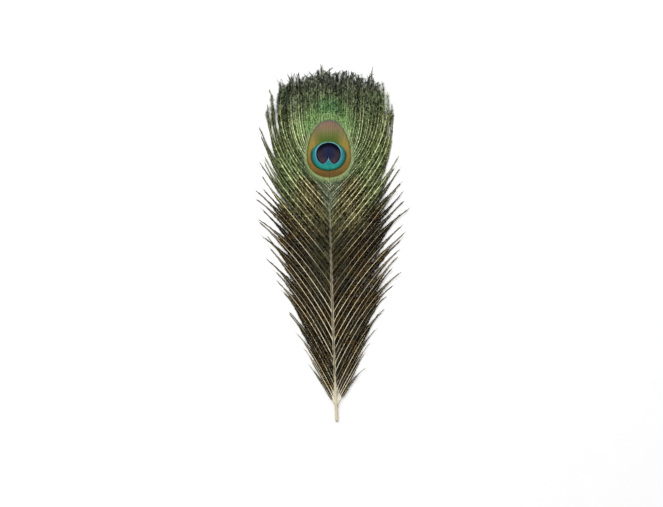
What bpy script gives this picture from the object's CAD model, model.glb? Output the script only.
import math

import bpy
import numpy as np
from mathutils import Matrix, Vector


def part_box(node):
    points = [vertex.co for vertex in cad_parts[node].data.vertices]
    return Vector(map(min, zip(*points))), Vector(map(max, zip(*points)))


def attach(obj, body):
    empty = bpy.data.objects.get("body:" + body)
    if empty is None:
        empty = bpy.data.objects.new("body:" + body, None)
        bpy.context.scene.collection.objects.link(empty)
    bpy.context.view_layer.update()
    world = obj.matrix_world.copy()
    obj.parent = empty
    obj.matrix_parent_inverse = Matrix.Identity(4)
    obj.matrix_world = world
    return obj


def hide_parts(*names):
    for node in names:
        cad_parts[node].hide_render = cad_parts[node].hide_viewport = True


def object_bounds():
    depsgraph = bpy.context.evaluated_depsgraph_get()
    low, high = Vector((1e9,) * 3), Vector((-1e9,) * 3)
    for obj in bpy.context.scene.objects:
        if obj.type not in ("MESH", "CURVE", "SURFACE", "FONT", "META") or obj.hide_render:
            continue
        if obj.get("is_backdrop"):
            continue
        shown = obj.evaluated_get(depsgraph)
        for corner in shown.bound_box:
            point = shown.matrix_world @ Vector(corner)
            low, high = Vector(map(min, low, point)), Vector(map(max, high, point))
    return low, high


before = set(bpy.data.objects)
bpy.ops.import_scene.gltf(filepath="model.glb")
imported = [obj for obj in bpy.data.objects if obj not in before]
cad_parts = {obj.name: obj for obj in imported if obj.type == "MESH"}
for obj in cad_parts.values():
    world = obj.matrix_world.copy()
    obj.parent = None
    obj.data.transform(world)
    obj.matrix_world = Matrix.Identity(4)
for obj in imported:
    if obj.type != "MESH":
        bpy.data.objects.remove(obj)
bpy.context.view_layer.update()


# ---------------------------------------------------------------------------------------------
# The shaft is one rod of keratin, cut across the hollow quill and tapering to a thread that
# dies out in the eye. It is grown, washed and dry: pale horn at the quill, greyer further up.
# Lengths are in millimetres, measured from the eye's axis and the middle of the feather.

MM = 0.001
QUILL_END, SHAFT_TIP = -140.8, 69.6
QUILL_OFFSET, BEND = 5.8, 1.6  # the quill bends away to the right, the more the lower it is
QUILL_RADIUS, THREAD_RADIUS, TAPER = 1.15, 0.14, 0.7
THREAD_HEIGHT, ARCH = 1.5, 1.2
# The feet of the barbs run along the shaft and widen it between two heights, and each of these
# heights has the stretch over which the widening comes or goes.
FEET_FROM, FEET_RISE, FEET_TO, FEET_FALL = -110, 90, 50, 30
FEET_WIDENING = 0.45
VANE_FROM, VANE_RISE = -132, 14  # below it the quill is round
GROOVE_DEPTH, GROOVE_WIDTH = 0.34, 0.12
TOP_FLATNESS = 0.16
CUT_SLANT, CUT_REACH = 0.45, 2.0
SUNK_FROM, SUNK_RISE, SUNK_DEPTH = 52, 8, 0.3  # where the eye closes over the shaft
SHAFT_RINGS, SHAFT_SIDES = 220, 28
HOLLOW_DEPTH, HOLLOW_SHARE, HOLLOW_RINGS = 4.0, 0.66, 9
LIP_SHARE = 0.92

shaft_low, shaft_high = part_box("shaft")
SOLID_SIDES = 12  # of the CAD's shaft
solid_half_width = QUILL_RADIUS * math.cos(math.pi / SOLID_SIDES)
feather_origin = np.array([
    shaft_high.x / MM - QUILL_OFFSET - solid_half_width,
    shaft_low.y / MM - QUILL_END,
    0.0,
])


def ease(x):
    """0 below 0, 1 above 1, and a smooth rise between them."""
    x = np.clip(x, 0, 1)
    return x * x * (3 - 2 * x)


def blend_of(share, start, end):
    return start + (end - start) * share


def from_tip(y):
    """0 at the shaft's tip and 1 at the quill's end."""
    return np.clip((SHAFT_TIP - y) / (SHAFT_TIP - QUILL_END), 0, 1)


def shaft_radius(y):
    return THREAD_RADIUS + (QUILL_RADIUS - THREAD_RADIUS) * from_tip(y) ** TAPER


def shaft_centre(y):
    share = from_tip(y)
    height = blend_of(share, THREAD_HEIGHT, QUILL_RADIUS) + ARCH * np.sin(math.pi * share)
    return np.stack([QUILL_OFFSET * share**BEND, y, height], -1)


def rings_joined(rings, sides):
    """Quads between rings of points that follow each other, each ring closed on itself."""
    ring = np.arange(rings - 1)[:, None] * sides
    side = np.arange(sides)[None, :]
    after = (side + 1) % sides
    corners = [ring + side, ring + after, ring + sides + after, ring + sides + side]
    return np.stack(corners, -1).reshape(-1, 4)


def ring_angles(sides):
    """The angles of a ring's points."""
    return 2 * math.pi * np.arange(sides) / sides


def mesh_of(name, points, faces, attributes=None, chart=None, smooth=True):
    """An object from points in millimetres and arrays of faces that have equally many corners."""
    mesh = bpy.data.meshes.new(name)
    corners = np.concatenate([group.ravel() for group in faces]).astype(np.int32)
    counts = np.concatenate([np.full(len(group), group.shape[1]) for group in faces])
    starts = np.concatenate([[0], np.cumsum(counts)[:-1]]).astype(np.int32)
    mesh.vertices.add(len(points))
    mesh.vertices.foreach_set("co", ((points + feather_origin) * MM).astype(np.float32).ravel())
    mesh.loops.add(len(corners))
    mesh.loops.foreach_set("vertex_index", corners)
    mesh.polygons.add(len(starts))
    mesh.polygons.foreach_set("loop_start", starts)
    mesh.polygons.foreach_set("use_smooth", np.full(len(starts), smooth))
    for key, values in (attributes or {}).items():
        layer = mesh.attributes.new(key, "FLOAT", "POINT")
        layer.data.foreach_set("value", values.astype(np.float32).ravel())
    if chart is not None:
        layer = mesh.uv_layers.new(name="OFBake")
        layer.uv.foreach_set("vector", chart[corners].astype(np.float32).ravel())
    mesh.update(calc_edges=True)
    made = bpy.data.objects.new(name, mesh)
    bpy.context.scene.collection.objects.link(made)
    return made


def colour(red, green, blue):
    """A display colour, 0 to 255, as the linear values that the shaders take."""
    return tuple((channel / 255) ** 2.2 for channel in (red, green, blue)) + (1.0,)


class Thread:
    """A link in a material's nodes. Arithmetic on threads adds Math nodes."""

    def __init__(self, tree, socket=None):
        self.tree = tree
        self.socket = socket

    def node(self, kind, inputs=None, settings=None, output=0):
        made = self.tree.nodes.new("ShaderNode" + kind)
        for key, value in (settings or {}).items():
            setattr(made, key, value)
        for key, value in (inputs or {}).items():
            if isinstance(value, Thread):
                self.tree.links.new(value.socket, made.inputs[key])
            else:
                made.inputs[key].default_value = value
        return Thread(self.tree, made.outputs[output])

    def math(self, operation, first, second=0.0):
        return self.node("Math", {0: first, 1: second}, {"operation": operation})

    def __add__(self, other):
        return self.math("ADD", self, other)

    def __sub__(self, other):
        return self.math("SUBTRACT", self, other)

    def __rsub__(self, other):
        return self.math("SUBTRACT", other, self)

    def __mul__(self, other):
        return self.math("MULTIPLY", self, other)

    def __truediv__(self, other):
        return self.math("DIVIDE", self, other)

    def __rtruediv__(self, other):
        return self.math("DIVIDE", other, self)

    def __pow__(self, other):
        return self.math("POWER", self, other)

    def __abs__(self):
        return self.math("ABSOLUTE", self)

    __radd__ = __add__

    def least(self, other):
        return self.math("MINIMUM", self, other)

    def most(self, other):
        return self.math("MAXIMUM", self, other)

    def rise(self, low, high):
        """0 below low, 1 above high, smooth between; it falls where low is above high."""
        limits = {"Value": self, "From Min": low, "From Max": high}
        return self.node("MapRange", limits, {"interpolation_type": "SMOOTHSTEP"})

    def paint(self, under, over):
        """The colour under, with over on top as far as this thread says."""
        return self.node("Mix", {0: self, 6: under, 7: over}, {"data_type": "RGBA"}, output=2)

    def attribute(self, name):
        return self.node("Attribute", settings={"attribute_name": name}, output="Fac")

    def noise(self, place, scale, detail=2.0):
        grain = {"Vector": place, "Scale": scale, "Detail": detail}
        return self.node("TexNoise", grain)


def new_material(name, **constants):
    """A material with the shader's own values set, and a thread to build its nodes from."""
    made = bpy.data.materials.new(name)
    made.use_nodes = True
    surface = made.node_tree.nodes["Principled BSDF"]
    for key, value in constants.items():
        surface.inputs[key.replace("_", " ")].default_value = value
    return made, surface, Thread(made.node_tree)


def connect(surface, key, thread):
    thread.tree.links.new(thread.socket, surface.inputs[key])


def feather_place(start):
    """The point on the feather in millimetres: as a vector, and its x and y."""
    place = start.node("TexCoord", output="Object")
    shifted = start.node(
        "Mapping",
        {"Vector": place, "Location": tuple(-feather_origin), "Scale": (1 / MM,) * 3},
    )
    split = start.node("SeparateXYZ", {"Vector": shifted})
    return shifted, split, Thread(start.tree, split.socket.node.outputs["Y"])


def stretched(place, *scale):
    """A place whose x, y and z are scaled, for a pattern that is drawn out one way."""
    return place.node("VectorMath", {0: place, 1: scale}, {"operation": "MULTIPLY"})


QUILL_HORN = colour(206, 194, 166)
MIDDLE_HORN = colour(182, 170, 146)
UPPER_HORN = colour(122, 120, 101)
STREAK_HORN = colour(112, 96, 70)
FLANK_HORN = colour(84, 72, 50)
SEAM_HORN = colour(64, 54, 38)
EYE_THREAD = colour(44, 42, 22)
PITH = colour(120, 96, 66)
GLAZE = {"Coat_Weight": 0.05, "Coat_Roughness": 0.3}

horn, horn_surface, start = new_material("horn", Roughness=0.45, Specular_IOR_Level=0.3, **GLAZE)
place, _, y = feather_place(start)
across = start.attribute("across")  # -1 and 1 at the shaft's flanks
streaks = start.noise(stretched(place, 3.0, 0.12, 3.0), 1.0, 3.0)
blotches = start.noise(place, 0.08)
shade = y.rise(-128.0, -50.0).paint(QUILL_HORN, MIDDLE_HORN)
shade = y.rise(-60.0, 30.0).paint(shade, UPPER_HORN)
shade = (streaks.rise(0.5, 0.75) * 0.55).paint(shade, STREAK_HORN)
shade = (blotches.rise(0.5, 0.7) * 0.25).paint(shade, STREAK_HORN)
shade = y.rise(40.0, 54.0).paint(shade, EYE_THREAD)
shade = (abs(across).rise(0.8, 1.0) * 0.5).paint(shade, FLANK_HORN)
seam = abs(across + 0.1).rise(0.5, 0.15) * y.rise(-116.0, -98.0) * y.rise(24.0, 0.0)
shade = seam.paint(shade, SEAM_HORN)
shade = start.attribute("inside").paint(shade, PITH)
connect(horn_surface, "Base Color", shade)
relief = start.node("Bump", {"Height": streaks, "Strength": 0.25, "Distance": 0.0001})
connect(horn_surface, "Normal", relief)


def shaft_ring(y, scale=1.0):
    """One cross-section: round at the quill, then flat-topped with a groove along its underside."""
    angle = ring_angles(SHAFT_SIDES)
    stout = ease((y - FEET_FROM) / FEET_RISE) * ease((FEET_TO - y) / FEET_FALL)
    radius = shaft_radius(y) * (1 + FEET_WIDENING * stout)
    vaned = ease((y - VANE_FROM) / VANE_RISE)
    groove = GROOVE_DEPTH * vaned * np.exp(-(np.sin(angle) + 1) / GROOVE_WIDTH)
    flat = 1 - TOP_FLATNESS * vaned * np.clip(np.sin(angle), 0, 1) ** 2
    wide = radius * scale * np.cos(angle)
    tall = radius * scale * np.sin(angle) * flat + radius * groove
    cut = CUT_SLANT * np.sin(angle) * (1 - ease((y - QUILL_END) / CUT_REACH))
    sunk = SUNK_DEPTH * ease((y - SUNK_FROM) / SUNK_RISE)
    return shaft_centre(y) + np.stack([wide, cut, tall - sunk], -1)


ring_heights = blend_of(np.linspace(0, 1, SHAFT_RINGS) ** 1.05, QUILL_END, SHAFT_TIP)
hollow_heights = QUILL_END + np.linspace(HOLLOW_DEPTH, 0, HOLLOW_RINGS)
hollow = [shaft_ring(height, HOLLOW_SHARE) for height in hollow_heights]
lip = [shaft_ring(QUILL_END, LIP_SHARE)]
outer = [shaft_ring(height) for height in ring_heights]
rings = np.array(hollow + lip + outer)
shaft_faces = [
    rings_joined(len(rings), SHAFT_SIDES),
    np.arange(SHAFT_SIDES)[None, ::-1],
    ((len(rings) - 1) * SHAFT_SIDES + np.arange(SHAFT_SIDES))[None, :],
]
hollow_points = np.zeros(len(rings) * SHAFT_SIDES)
hollow_points[: len(hollow) * SHAFT_SIDES] = 1
spots = {"inside": hollow_points, "across": np.tile(np.cos(ring_angles(SHAFT_SIDES)), len(rings))}
shaft = mesh_of("feather_shaft", rings.reshape(-1, 3), shaft_faces, spots)
shaft.data.materials.append(horn)
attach(shaft, "root")
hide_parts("shaft")


# ---------------------------------------------------------------------------------------------
# The loose barbs grow from both sides of the shaft: a thin tan stem with a row of flat dark
# barbules down each side, free of its neighbours. The lower ones run out nearly straight, and
# the upper ones sweep round the eye into the crown.

# Where a barb leaves the shaft, its length, and its heading away from the feather's axis in
# degrees at these shares of its length.
STATIONS = np.array([0, 0.12, 0.3, 0.55, 0.8, 1])
KEY_BARBS = np.array([
    [-131, 42, 22, 28, 30, 32, 35, 40],
    [-118, 74, 20, 25, 27, 30, 35, 42],
    [-92, 94, 22, 27, 30, 35, 41, 47],
    [-44, 96, 28, 34, 36, 40, 45, 49],
    [-16, 92, 32, 39, 40, 40, 40, 38],
    [0, 100, 36, 40, 40, 38, 30, 23],
    [12, 109, 38, 40, 39, 35, 18, 7],
    [20, 113, 39, 41, 40, 31, 12, 1],
    [28, 113, 41, 42, 40, 26, 6, -5],
    [48, 97, 46, 48, 40, 14, -3, -8],
    [52, 92, 47, 46, 30, 8, -1, -4],
    [60, 81, 48, 36, 10, 5, 1, -2],
    [66, 74, 40, 14, 6, 3, 1, 0],
    [70, 70.8, 0.6, 0.3, 0, 0, 0, 0],
])
FIRST_BARB, SPLIT, LAST_LOOSE_BARB, FIRST_EYE_BARB, LAST_BARB = -131, -8, 38, 48, 70
# Gap along the shaft between one barb and the next, by height.
GAP_HEIGHTS = [-131, -118, -92, -44, 0, 16, 28, 38, 47, 50, 54, 60, 66, 70]
GAPS = [3.4, 5.0, 6.6, 6.8, 5.6, 4.4, 3.5, 1.9, 0.6, 0.34, 0.38, 0.5, 0.42, 0.3]
GAP_SPREAD = 0.28
STRAY_CHANCE, LONGEST_STRAY = 0.16, 1.07  # single hairs that stand out above the crown
HELD_SHARE = 0.66  # of an eye barb, which its neighbours keep straight
TIP_CLEARANCE, RESTING_SHARE, LOWEST = 0.35, 0.12, 0.04  # over the table, at a barb's outer end
ROUTE_STEP = 1.6


def smooth_between(x, xs, ys):
    """The value at x of a smooth curve through the points (xs, ys) that never overshoots them."""
    slopes = np.diff(ys) / np.diff(xs)
    before, after = np.append(slopes[0], slopes), np.append(slopes, slopes[-1])
    with np.errstate(divide="ignore", invalid="ignore"):
        tangents = np.where(before * after > 0, 2 * before * after / (before + after), 0)
    spot = int(np.clip(np.searchsorted(xs, x) - 1, 0, len(xs) - 2))
    span = xs[spot + 1] - xs[spot]
    share = (x - xs[spot]) / span
    rise = ys[spot + 1] - ys[spot]
    start, end = span * tangents[spot], span * tangents[spot + 1]
    square, cube = 3 * rise - 2 * start - end, start + end - 2 * rise
    return ys[spot] + share * (start + share * (square + share * cube))


EYE_CENTRE = -0.5
# A rounded shape: the height of its widest line, its half-width there, its reach above and below.
OVAL, OVAL_SQUARENESS = (69.5, 17.3, 29.9, 15.3), 2.05


def outside(x, y, shape, squareness):
    """About how far a point lies outside a rounded shape, in millimetres; less than 0 inside."""
    middle, wide, above, below = shape
    height = y - middle
    up = (abs(height) + height) / (2 * above) + (abs(height) - height) / (2 * below)
    level = abs(x - EYE_CENTRE) / wide
    return ((level**squareness + up**squareness) ** (1 / squareness) - 1) * wide


def closed_share(points):
    """How tightly the barbules hook together at these points: 1 in the eye, 0 in the loose barbs."""
    return 1 - ease((outside(points[:, 0], points[:, 1], OVAL, OVAL_SQUARENESS) - 2.0) / 2.5)


def barb_route(root, side, dice):
    """Points along a barb's stem from the shaft to its tip, its length, and how much of an eye
    barb it is: 0 for a loose barb, 1 for one that runs through the eye."""
    roots = KEY_BARBS[:, 0]
    in_eye = ease((root - LAST_LOOSE_BARB) / (FIRST_EYE_BARB - LAST_LOOSE_BARB))
    length = smooth_between(root, roots, KEY_BARBS[:, 1])
    length *= dice.uniform(0.93 + 0.02 * in_eye, 1.02 + 0.02 * in_eye)
    if root >= FIRST_EYE_BARB and dice.uniform(0, 1) < STRAY_CHANCE:
        length *= dice.uniform(1.0, LONGEST_STRAY)
    headings = [smooth_between(root, roots, column) for column in KEY_BARBS[:, 2:].T]
    steps = int(length / ROUTE_STEP)
    share = np.linspace(0, 1, steps + 1)
    middle = (share[1:] + share[:-1]) / 2
    heading = np.interp(middle, STATIONS, headings)
    root_bend = blend_of(in_eye, 5.0, 1.2)
    heading *= blend_of(ease(middle * length / root_bend), 0.3, 1.0)
    free = ease((middle - HELD_SHARE * in_eye) / (1 - HELD_SHARE * in_eye))
    # In degrees: a lean of the whole barb, a sway to and fro, a curl, and a hook at the tip.
    lean = dice.normal(0, 0.9)
    sway = dice.normal(0, blend_of(in_eye, 1.5, 1.9))
    turns, phase = dice.uniform(0.7, 1.6), dice.uniform(0, 2 * math.pi)
    curl = dice.normal(0, blend_of(in_eye, 5, 12))
    hook = dice.normal(0, blend_of(ease((root - 20) / 20), 6, 55))
    heading += lean * free + sway * free * np.sin(2 * math.pi * turns * middle + phase)
    heading += curl * free**3 + hook * ease((middle - 0.9) / 0.1)
    heading = np.radians(heading)
    step = length / steps
    x = side * np.append(0, np.cumsum(np.sin(heading))) * step
    y = np.append(0, np.cumsum(np.cos(heading))) * step
    start = shaft_centre(root)
    start_height = start[2] + 0.25 * shaft_radius(root)
    droop = ease(share / (1 - RESTING_SHARE))
    z = blend_of(droop, start_height, TIP_CLEARANCE)
    waves = 0.35 * np.sin(2 * math.pi * (share + phase))
    z += ease(share * 4) * (1 - in_eye) * (dice.uniform(0, 0.9) + waves)
    # Half of the tips turn up.
    z += dice.uniform(0, 2.2) * ease((share - 0.86) / 0.14) * dice.integers(0, 2)
    x += start[0] + side * 0.6 * shaft_radius(root) * (root < LAST_BARB)
    return np.stack([x, start[1] + y, z], -1), length, in_eye


def frames_of(points):
    """Forward, sideways and upward directions at each point of a route."""
    forward = np.gradient(points, axis=0)
    forward /= np.linalg.norm(forward, axis=1, keepdims=True)
    sideways = np.cross(forward, [0, 0, 1])
    sideways /= np.linalg.norm(sideways, axis=1, keepdims=True)
    return forward, sideways, np.cross(sideways, forward)


def at_shares(values, shares):
    """Rows of values, given at even shares of a route, at other shares of it."""
    even = np.linspace(0, 1, len(values))
    return np.stack([np.interp(shares, even, column) for column in values.T], -1)


STEM_SIDES, STEM_FLATNESS = 4, 0.8
# Half a stem's width at its root and its tip, each for a loose barb and for one of the eye.
STEM_ROOTS, STEM_TIPS = (0.32, 0.15), (0.11, 0.17)
# Every third barb beside the eye leads: it is stouter and lies over its neighbours, up to a
# height where all are level again.
LEAD_WIDTH, LEAD_LIFT, LEAD_END, LEAD_FADE = 0.15, 0.45, 130, 28


def stem_of(points, in_eye, leads):
    """The barb's stem: a tapered rod with four sides, wide and flat where it leaves the shaft.
    Also the share of the barb that each of its points is at, and its place in the chart's row."""
    share = np.linspace(0, 1, len(points))
    _, sideways, upward = frames_of(points)
    at_root = blend_of(in_eye, *STEM_ROOTS) + LEAD_WIDTH * leads
    half = blend_of(share**0.9, at_root, blend_of(in_eye, *STEM_TIPS))
    angle = ring_angles(STEM_SIDES)
    across = sideways[:, None] * np.cos(angle)[None, :, None]
    up = upward[:, None] * STEM_FLATNESS * np.sin(angle)[None, :, None]
    rings = points[:, None] + (across + up) * half[:, None, None]
    ends = np.arange(STEM_SIDES)
    caps = [ends[::-1], (len(points) - 1) * STEM_SIDES + ends]
    faces = np.concatenate([rings_joined(len(points), STEM_SIDES), caps])
    in_row = np.tile(0.04 * np.sin(angle), len(points))
    return rings.reshape(-1, 3), faces, np.repeat(share, STEM_SIDES), in_row


# A barbule's points: two at its root, two in its middle and its tip. How far out each is, and
# where it is across the barbule's place in the chart, which is as wide as this along the stem.
BARBULE_POINTS = 5
BARBULE_OUT = [0.15, 0.15, 0.6, 0.6, 1.0]
CHART_ACROSS, CHART_WIDTH = [-0.5, 0.5, -0.4, 0.4, 0.3], 0.2
CLUMP = 1.3  # along the stem, between one clump of barbules and the next
# How far the loose barbules reach, by the height of their barb's root.
REACH_HEIGHTS = [-92, 0, 28, 40, 48]
REACHES = [4.2, 4.0, 3.6, 2.8, 2.1]
# Above this height the barbules stand off in all directions, fully so after the rise.
FRIZZ_START, FRIZZ_RISE = 88, 22
BARE_STRETCH = 24  # of the shaft, whose first barbs are nearly bare


def barbules_of(points, length, in_eye, side, hand, dice):
    """One row of barbules, on the left or right hand of a stem: flat blades that lean forward,
    short and edge to edge where the vane is closed, long and a little twisted where it is loose.
    Also, for each of their points, the share of the barb it is at, how far out it is on its
    barbule, and its barbule's lot in the brightness."""
    fine = np.linspace(0, 1, 400)
    closed = closed_share(at_shares(points[:, :2], fine))
    frizz = ease((at_shares(points, fine)[:, 1] - FRIZZ_START) / FRIZZ_RISE)
    gap = blend_of(closed, blend_of(frizz, blend_of(in_eye, 0.16, 0.2), 0.17), 0.2)
    count = np.append(0, np.cumsum(1 / gap[1:])) * length / (len(fine) - 1)
    low = ease((points[0, 1] - FIRST_BARB) / BARE_STRETCH)
    bare = blend_of(in_eye, blend_of(low, 9.0, 0.5), 0.3) * dice.uniform(0.7, 1.1) / length
    wisp = dice.uniform(0, 0.12) * blend_of(in_eye, 0.5, 1.0) + 0.01
    numbers = np.arange(np.interp(bare, fine, count), np.interp(1 - wisp, fine, count))
    share = np.interp(numbers + dice.uniform(-0.15, 0.15, len(numbers)), count, fine)
    total = len(share)
    spot = at_shares(points, share)
    forward, sideways, upward = (at_shares(rows, share) for rows in frames_of(points))
    closed = closed_share(spot)
    frizz = ease((spot[:, 1] - FRIZZ_START) / FRIZZ_RISE) * (1 - closed)

    def spread(loose, hooked, frizzy):
        """A value for loose barbules, for those hooked together and for those of the crown."""
        return blend_of(frizz, blend_of(closed, loose, hooked), frizzy)

    knots = dice.uniform(0, 1, int(length / CLUMP) + 2)
    clump = np.interp(share * length / CLUMP, np.arange(len(knots)), knots)
    full_reach = np.interp(points[0, 1], REACH_HEIGHTS, REACHES)
    loose_reach = full_reach * ease((share - bare) * length / 7 + 0.6)
    loose_reach *= (1 - 0.8 * ease((share - 0.58) / 0.32) * (1 - frizz)) * blend_of(low, 0.4, 1.0)
    frizzy_reach = dice.uniform(1.1, blend_of(in_eye, 4.6, 3.1), total)
    frizzy_reach *= 1 - 0.5 * ease((share - 0.88) / 0.12)
    reach = spread(loose_reach, 0.8, frizzy_reach) * dice.uniform(0.86, 1.1, total)
    reach *= 1 + spread(0.4, 0.0, 0.7) * (clump - 0.5)
    upper_hand = -hand * side  # 1 for the row nearer the feather's tip
    lean = np.radians(spread(41, 46, 32) + dice.normal(0, 1, total) * spread(5, 1, 18))
    rise = np.radians(spread(3 + 5 * upper_hand, 2, 6) + dice.normal(0, 1, total) * spread(7, 1, 20))
    twist = np.radians(spread(6, 8, 0) + dice.normal(0, 1, total) * spread(16, 3, 30))
    width = spread(0.28, 0.26, 0.2)

    def heading(angle):
        level = hand * (np.cos(rise)[:, None] * sideways + np.sin(rise)[:, None] * upward * hand)
        return np.cos(angle)[:, None] * forward + np.sin(angle)[:, None] * level

    first_way = heading(lean + 0.12)
    second_way = heading(lean - 0.28)
    across = forward - first_way * np.sum(forward * first_way, 1, keepdims=True)
    across /= np.linalg.norm(across, axis=1, keepdims=True)
    edge = np.cos(twist)[:, None] * across + np.sin(twist)[:, None] * upward
    middle = spot + first_way * (0.55 * reach)[:, None]
    tip = middle + second_way * (0.45 * reach)[:, None]
    half = (0.5 * width)[:, None] * edge
    blades = np.stack([spot - half, spot + half, middle - 0.9 * half, middle + 0.9 * half, tip], 1)
    base = np.arange(total)[:, None] * BARBULE_POINTS
    quads = base + np.array([[0, 1, 3, 2]])
    triangles = base + np.array([[2, 3, 4]])
    if hand < 0:
        quads, triangles = quads[:, ::-1], triangles[:, ::-1]
    along = np.repeat(share, BARBULE_POINTS)
    out = np.tile(BARBULE_OUT, total)
    lot = np.repeat(0.4 * dice.uniform(0, 1, total) + 0.6 * clump, BARBULE_POINTS)
    return blades.reshape(-1, 3), quads, triangles, along, out, lot


def barb_roots(low, high, dice):
    """Heights at which barbs leave one side of the shaft, from low up to high."""
    roots = [low]
    while roots[-1] < high:
        gap = np.interp(roots[-1], GAP_HEIGHTS, GAPS)
        spread = dice.uniform(-GAP_SPREAD, GAP_SPREAD) * ease((44 - roots[-1]) / 12 + 0.3)
        roots.append(roots[-1] + gap * (1 + spread))
    return roots[:-1]


def barbs_piece(name, roots, side, dice):
    """Joins the barbs that leave one side of the shaft at these heights in one object. Every barb
    has a row of its own in the chart, with the stem along its middle."""
    points, quads, triangles, chart = [], [], [], []
    spots = {key: [] for key in ("along", "out", "stem", "lot", "strand")}

    def add(shape, four, three, on_chart, **values):
        """Adds a rod or a row of barbules, and the values that its points carry."""
        before = sum(map(len, points))
        points.append(shape)
        quads.append(four + before)
        triangles.append(three + before)
        chart.append(np.stack(on_chart, -1))
        for key, value in values.items():
            spots[key].append(np.broadcast_to(value, len(shape)))

    group_lots = np.repeat(dice.uniform(0, 1, len(roots)), 3)  # three neighbours share one
    for number, root in enumerate(roots):
        route, length, in_eye = barb_route(root, side, dice)
        chance = dice.uniform(0, 1)
        loose_lot = blend_of(0.6, group_lots[number], (number * 2 % 3 + chance) / 3)
        strand_lot = blend_of(in_eye, loose_lot, ((number + 1) % 3 + chance) / 3)
        leads = in_eye * (number % 3 == 0) * blend_of(group_lots[number], 0.25, 1.0)
        lift = LEAD_LIFT * leads * (1 - closed_share(route))
        route[:, 2] += lift * ease((LEAD_END - route[:, 1]) / LEAD_FADE)
        row, row_half = (number + 0.5) / len(roots), 0.47 / len(roots)

        rod, four, share, in_row = stem_of(route, in_eye, leads)
        on_chart = [0.01 + 0.98 * share, row + row_half * in_row]
        brightness = blend_of(in_eye, strand_lot, 0.2 + 0.6 * leads)
        no_triangles = np.zeros((0, 3), int)
        add(rod, four, no_triangles, on_chart, along=share, out=0.0, stem=1.0, lot=0.5, strand=brightness)
        for hand in (-1, 1):
            blades, four, three, share, out, lot = barbules_of(route, length, in_eye, side, hand, dice)
            across = np.tile(CHART_ACROSS, len(blades) // BARBULE_POINTS) * CHART_WIDTH / length
            forward = np.clip(0.01 + 0.98 * (share + across), 0, 1)
            on_chart = [forward, row + hand * row_half * (0.06 + 0.94 * out)]
            add(blades, four, three, on_chart, along=share, out=out, stem=0.0, lot=lot, strand=strand_lot)
    points = np.concatenate(points)
    points[:, 2] = np.maximum(points[:, 2], LOWEST)
    faces = [np.concatenate(quads), np.concatenate(triangles)]
    attributes = {key: np.concatenate(values) for key, values in spots.items()}
    made = mesh_of(name, points, faces, attributes, np.concatenate(chart), smooth=False)
    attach(made, "root")
    return made


# The loose barbs' colours at each place on the feather: of the dark barbule tips, of the band of
# barbules along a stem, and of the stem where it shines.
HERL = {
    "brown": ((15, 12, 5), (96, 86, 61), (222, 212, 184)),
    "bronze": ((21, 14, 5), (104, 84, 52), (210, 196, 156)),
    "green": ((46, 58, 24), (184, 200, 142), (206, 218, 162)),
    "gold": ((40, 36, 14), (178, 170, 118), (208, 200, 156)),
    "slate": ((72, 80, 61), (160, 168, 134), (184, 192, 162)),
    "crown": ((18, 25, 11), (134, 148, 110), (176, 188, 140)),
    "tip": ((26, 30, 22), (126, 130, 112), (150, 156, 134)),
}
BAND_WIDTH, BAND_EDGE = 0.14, 0.15  # shares of a barbule


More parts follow.
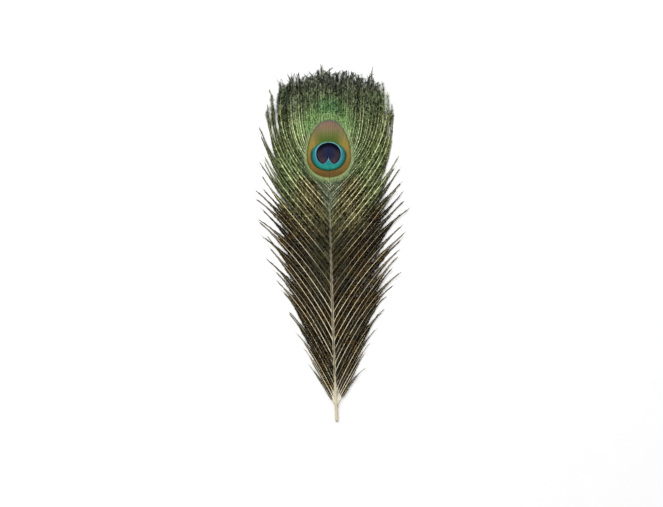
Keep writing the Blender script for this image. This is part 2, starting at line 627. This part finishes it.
def herl_colour(start, place, x, y):
    """The colour of the loose barbs: pale stems, a bright band of barbules along each stem, and
    dark barbule tips between them. Brown low on the feather, gold under the eye, slate at its
    foot, green round it and sooty green in the crown."""
    stem, along, out = (start.attribute(key) for key in ("stem", "along", "out"))
    lot, strand = start.attribute("lot"), start.attribute("strand")
    glints = start.noise(place, 0.9, 1.0).rise(0.3, 0.7)
    fades = start.noise(place, 0.12, 1.0).rise(0.36, 0.64)
    clump = lot.rise(0.25, 0.75)
    oval = outside(x, y, OVAL, OVAL_SQUARENESS)
    parts = {
        "bronze": start.noise(place, 0.06, 2.0).rise(0.45, 0.6),
        "green": oval.rise(50.0, 13.0),
        "gold": (abs(x) - 16.0).rise(20.0, 2.0) * y.rise(2.0, 30.0) * y.rise(62.0, 48.0),
        "slate": (abs(x) - (y - 24.0) * 0.35).rise(4.0, -2.0) * y.rise(14.0, 34.0) * y.rise(62.0, 54.0),
        "crown": y.rise(94.0, 116.0),
        "tip": y.rise(118.0, 132.0),
    }

    def by_place(layer):
        shade = colour(*HERL["brown"][layer])
        for key, part in parts.items():
            shade = part.paint(shade, colour(*HERL[key][layer]))
        return shade

    dark, light, bright = (by_place(layer) for layer in range(3))

    band = parts["green"].most(parts["slate"]) * 0.12 + BAND_WIDTH
    in_band = ((band - out) / BAND_EDGE + 0.5).rise(0.0, 1.0)
    specks = lot.rise(0.56, 0.68) * parts["crown"]
    lit = in_band.most(specks) * (0.3 + glints * 0.7) + (clump - 0.5) * 0.6
    lit = lit + (1.0 - parts["green"].most(parts["crown"])) * glints * 0.3
    shade = lit.paint(dark, light)

    # Between the quill and the eye the barbules lie over the stems next to the shaft.
    covered = along.rise(0.36, 0.06) * y.rise(-60.0, -10.0) * y.rise(38.0, 24.0)
    stem_light = strand.rise(0.2, 0.8) * 0.75 + fades * 0.3 + glints * 0.2
    stem_light = stem_light + parts["green"] * 0.15 + 0.15
    stem_light = stem_light * along.rise(1.5, 0.4) * (1.0 - covered * 0.9)
    stem_light = stem_light * (1.0 - y.rise(92.0, 120.0) * 0.6)
    shade = stem.paint(shade, stem_light.paint(light, bright))
    # The barbs of the crown end in dark hairs.
    hair_part = stem * y.rise(124.0, 134.0) * 0.85
    shade = hair_part.paint(shade, colour(58, 64, 56))

    # Over all of it: olive beside the shaft, grey-green close to the eye, the green halo above
    # the eye, a teal patch in the crown, and the pale rim of the oval.
    olive_part = abs(x).rise(22.0, 8.0) * y.rise(-50.0, -10.0) * y.rise(42.0, 26.0)
    olive = clump.paint(colour(34, 36, 22), colour(78, 80, 58))
    shade = (olive_part * 0.5).paint(shade, olive)
    grey_part = oval.rise(8.0, 4.0) * y.rise(90.0, 78.0)
    grey = clump.paint(colour(66, 88, 58), colour(112, 134, 98))
    shade = (grey_part * (0.4 + y.rise(64.0, 56.0) * 0.3)).paint(shade, grey)
    halo_part = oval.rise(14.0, 4.0) * y.rise(84.0, 96.0)
    halo_light = (clump * 0.5 + glints * 0.5).rise(0.2, 0.8)
    halo = halo_light.paint(colour(54, 82, 40), colour(148, 184, 118))
    shade = (halo_part * 0.85).paint(shade, halo)
    teal_part = abs(x - EYE_CENTRE).rise(14.0, 4.0) * y.rise(103.0, 109.0) * y.rise(120.0, 112.0)
    teal = clump.paint(colour(18, 48, 32), colour(84, 136, 94))
    shade = (teal_part * 0.5).paint(shade, teal)
    pale_part = oval.rise(6.0 - y.rise(52.0, 64.0) * 4.0, 0.8) * y.rise(100.0, 86.0)
    pale = y.rise(76.0, 90.0).paint(colour(150, 166, 112), colour(138, 174, 120))
    paleness = y.rise(66.0, 58.0) * 0.85 + glints * 0.25 + clump * 0.25
    shade = (pale_part * paleness).paint(shade, pale)

    # Barbs differ from their neighbours in brightness, most of all in the crown.
    contrast = oval.rise(1.0, 5.0) * (1.0 + y.rise(80.0, 110.0)) + 0.25
    # Nearer the eye, barbules that cross the stems break up their shine.
    beads = start.noise(place, 0.8, 1.0).rise(0.42, 0.6) * 1.1 - 0.5
    beads = beads * stem * oval.rise(1.0, 4.0) * y.rise(-20.0, 30.0)
    # Beside the eye, the left side lies a little more open to the light than the right.
    beside_eye = oval.rise(2.0, 9.0) * parts["green"] * (1.0 - parts["crown"])
    opening = (x.rise(15.0, -15.0) - 0.5) * beside_eye * 0.4
    value = (strand - 0.5) * contrast + beads + opening + 1.0
    return start.node("HueSaturation", {"Value": value, "Color": shade})


herl, herl_surface, start = new_material("loose_herl", Roughness=0.55, Specular_IOR_Level=0.06)
place, x, y = feather_place(start)
connect(herl_surface, "Base Color", herl_colour(start, place, x, y))

SIDES = {"left": -1, "right": 1}
LOOSE_SEED = 15
for number, (word, side) in enumerate(SIDES.items()):
    for stretch, (low, high) in enumerate([(FIRST_BARB, SPLIT), (SPLIT, FIRST_EYE_BARB)]):
        dice = np.random.default_rng(LOOSE_SEED + 10 * number + stretch)
        level = ("lower", "upper")[stretch]
        piece = barbs_piece(f"{level}_{word}_barbs", barb_roots(low, high, dice), side, dice)
        piece.data.materials.append(herl)
        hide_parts(f"{word}_vane")


# ---------------------------------------------------------------------------------------------
# The eye is where the last barbs' barbules hook together to a closed vane, whose layers of
# pigment and film give the rings. Past its green halo the same barbs come loose again, and
# their sooty tips are the middle of the crown.

RING, RING_SQUARENESS = (72.2, 13.5, 10.3, 12.4), 2.15
HEART = (73.2, 9.8, 8.6, 9.1)
NOTCH_TOP = 71.0
SCATTER = (0.45, 0.4)  # how far a barb and a barbule shift the drawing up or down


def eye_colour(start, place, x, y, shade):
    """Paints the eye over the shade of the loose barbs: bronze oval, turquoise ring, dark heart."""
    strand, lot = start.attribute("strand"), start.attribute("lot")
    y = y + (strand - 0.5) * SCATTER[0] + (lot - 0.5) * SCATTER[1]
    oval = outside(x, y, OVAL, OVAL_SQUARENESS)
    x = x + 0.3  # the ring and the heart sit a little to the left in the oval
    across = x - EYE_CENTRE
    ring = outside(x, y, RING, RING_SQUARENESS)
    disc = outside(x, y, HEART, 2.0 + y.rise(74.0, 70.0) * 0.4)
    # More than 0 in the notch, which widens downwards from its top.
    reach = NOTCH_TOP - y
    notch = reach.most(0.0) ** 2.1 * 0.085 + reach.least(0.0) * 2.0 - abs(across)
    heart = start.node("Math", {0: disc, 1: notch, 2: 1.6}, {"operation": "SMOOTH_MAX"})
    streaks = start.noise(stretched(place, 3.2, 0.16, 1.0), 1.0, 3.0)
    specks = start.noise(place, 1.5, 1.0)

    # The oval is brown at its foot, bronze at its sides and rosy at its top, with an olive patch
    # over the ring.
    bronze = y.rise(56.0, 62.0).paint(colour(106, 75, 42), colour(136, 104, 56))
    bronze = y.rise(64.0, 78.0).paint(bronze, colour(162, 142, 72))
    bronze = y.rise(80.0, 90.0).paint(bronze, colour(134, 130, 88))
    bronze = y.rise(88.0, 97.0).paint(bronze, colour(142, 116, 104))
    bronze = (specks.rise(0.6, 0.4) * 0.3).paint(bronze, colour(112, 104, 56))
    bronze = (specks.rise(0.5, 0.7) * 0.3).paint(bronze, colour(186, 138, 108))
    olive = (abs(across) - 1.0).rise(13.0, 3.0) * y.rise(78.0, 82.0) * y.rise(94.0, 83.0)
    bronze = (olive * 0.95).paint(bronze, colour(76, 107, 46))
    bronze = (streaks.rise(0.42, 0.66) * 0.4).paint(bronze, colour(100, 92, 46))
    shade = oval.rise(0.35, -0.35).paint(shade, bronze)
    edge = abs(oval).rise(0.9, 0.1)
    edge_shade = y.rise(84.0, 97.0).paint(colour(88, 76, 28), colour(100, 96, 92))
    shade = (edge * 0.75).paint(shade, edge_shade)

    # The ring is turquoise, bluer against the heart and greener at its outer edge.
    green_line = abs(ring - 0.2).rise(1.2, 0.3) * y.rise(80.0, 72.0)
    shade = (green_line * 0.9).paint(shade, colour(36, 62, 34))
    bluer = heart.rise(2.0, 0.3) * y.rise(62.0, 69.0)
    film = y.rise(63.0, 67.0).paint(colour(50, 148, 138), colour(46, 130, 132))
    film = (bluer * 0.9).paint(film, colour(94, 148, 174))
    film = (ring.rise(-1.8, -0.2) * 0.85).paint(film, colour(22, 88, 72))
    film = (ring.rise(-3.4, -0.8) * y.rise(75.0, 80.0)).paint(film, colour(36, 104, 74))
    arc = abs(heart - 0.5).rise(0.6, 0.2) * y.rise(73.0, 79.0)
    film = (arc * 0.9).paint(film, colour(128, 184, 188))
    softness = y.rise(74.0, 80.0) * 0.9 + 0.3
    shade = (0.5 - ring / (softness * 2.0)).rise(0.0, 1.0).paint(shade, film)

    # The heart is dark blue in the middle, browner in its two lobes and nearly black at its edge.
    ink = (abs(across) - 1.0).rise(8.0, 0.0).paint(colour(61, 54, 58), colour(42, 45, 73))
    ink = (y.rise(71.5, 66.5) * abs(across).rise(8.0, 5.0) * 0.6).paint(ink, colour(92, 66, 62))
    rim = heart.rise(-1.3, -0.4) + heart.rise(-5.4, -2.0) * y.rise(72.0, 78.0)
    ink = (rim * 0.95).paint(ink, colour(3, 10, 30))
    shade = heart.rise(0.3, -0.3).paint(shade, ink)
    grain = 0.8 + streaks.rise(0.3, 0.7) * 0.25 + (lot - 0.5) * 0.3 + (strand - 0.5) * 0.35
    return start.node("HueSaturation", {"Value": grain, "Color": shade})


eye_vane, eye_surface, start = new_material("eye_vane", Roughness=0.5, Specular_IOR_Level=0.06)
place, x, y = feather_place(start)
shade = herl_colour(start, place, x, y)
connect(eye_surface, "Base Color", eye_colour(start, place, x, y, shade))

EYE_SEED = 51
for number, (word, side) in enumerate(SIDES.items()):
    # The last of the loose barbs cross the oval's lower corners, so they carry its colours too.
    bpy.data.objects[f"upper_{word}_barbs"].data.materials[0] = eye_vane
    dice = np.random.default_rng(EYE_SEED + number)
    roots = barb_roots(FIRST_EYE_BARB, LAST_BARB, dice) + [LAST_BARB] * (side < 0)
    piece = barbs_piece(f"{word}_eye_and_crown", roots, side, dice)
    piece.data.materials.append(eye_vane)
    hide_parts("eye_vane")


# ---------------------------------------------------------------------------------------------
# The feather lies on a plain pale table under a wide soft lamp and an even white surround, and
# the camera looks straight down on it.

PICTURE_WIDTH, PICTURE_HEIGHT = 663, 507
AXIS_COLUMN, MIDDLE_ROW = 329.5, 245.0  # where the feather's axis and middle fall in the picture
PIXEL = 0.8  # of the table in one pixel
LENS, SENSOR = 85.0, 36.0

bpy.ops.mesh.primitive_plane_add(size=6.0, location=(0, 0, 0))
table = bpy.context.object
table.name = "table"
pale, pale_surface, start = new_material("pale_table", Roughness=0.9)
speckle = start.noise(start.node("TexCoord", output="Object"), 60.0, 2.0)
connect(pale_surface, "Base Color", speckle.paint(colour(243, 243, 243), colour(246, 246, 246)))
table.data.materials.append(pale)
table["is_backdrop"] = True

world = bpy.data.worlds.new("surround")
bpy.context.scene.world = world
world.use_nodes = True
white = world.node_tree.nodes["Background"]
white.inputs["Color"].default_value = (1.0, 1.0, 1.0, 1.0)
white.inputs["Strength"].default_value = 0.85

lamp_data = bpy.data.lights.new("softbox", "AREA")
lamp_data.shape = "RECTANGLE"
lamp_data.size, lamp_data.size_y = 0.9, 0.6
lamp_data.energy = 9.0
lamp = bpy.data.objects.new("softbox", lamp_data)
lamp.location = (-0.55, 0.7, 0.9)
lamp.rotation_euler = lamp.location.to_track_quat("Z", "Y").to_euler()
bpy.context.scene.collection.objects.link(lamp)

camera_data = bpy.data.cameras.new("overhead")
camera_data.lens = LENS
camera_data.sensor_width = SENSOR
camera = bpy.data.objects.new("overhead", camera_data)
centre_x = feather_origin[0] + (PICTURE_WIDTH / 2 - AXIS_COLUMN) * PIXEL
centre_y = feather_origin[1] + (MIDDLE_ROW - PICTURE_HEIGHT / 2) * PIXEL
height = PICTURE_WIDTH * PIXEL * LENS / SENSOR
camera.location = (centre_x * MM, centre_y * MM, height * MM)
camera_data.clip_start = 0.05
camera_data.clip_end = 20
bpy.context.scene.collection.objects.link(camera)
bpy.context.scene.camera = camera
bpy.context.scene.view_settings.view_transform = "Standard"

low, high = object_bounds()
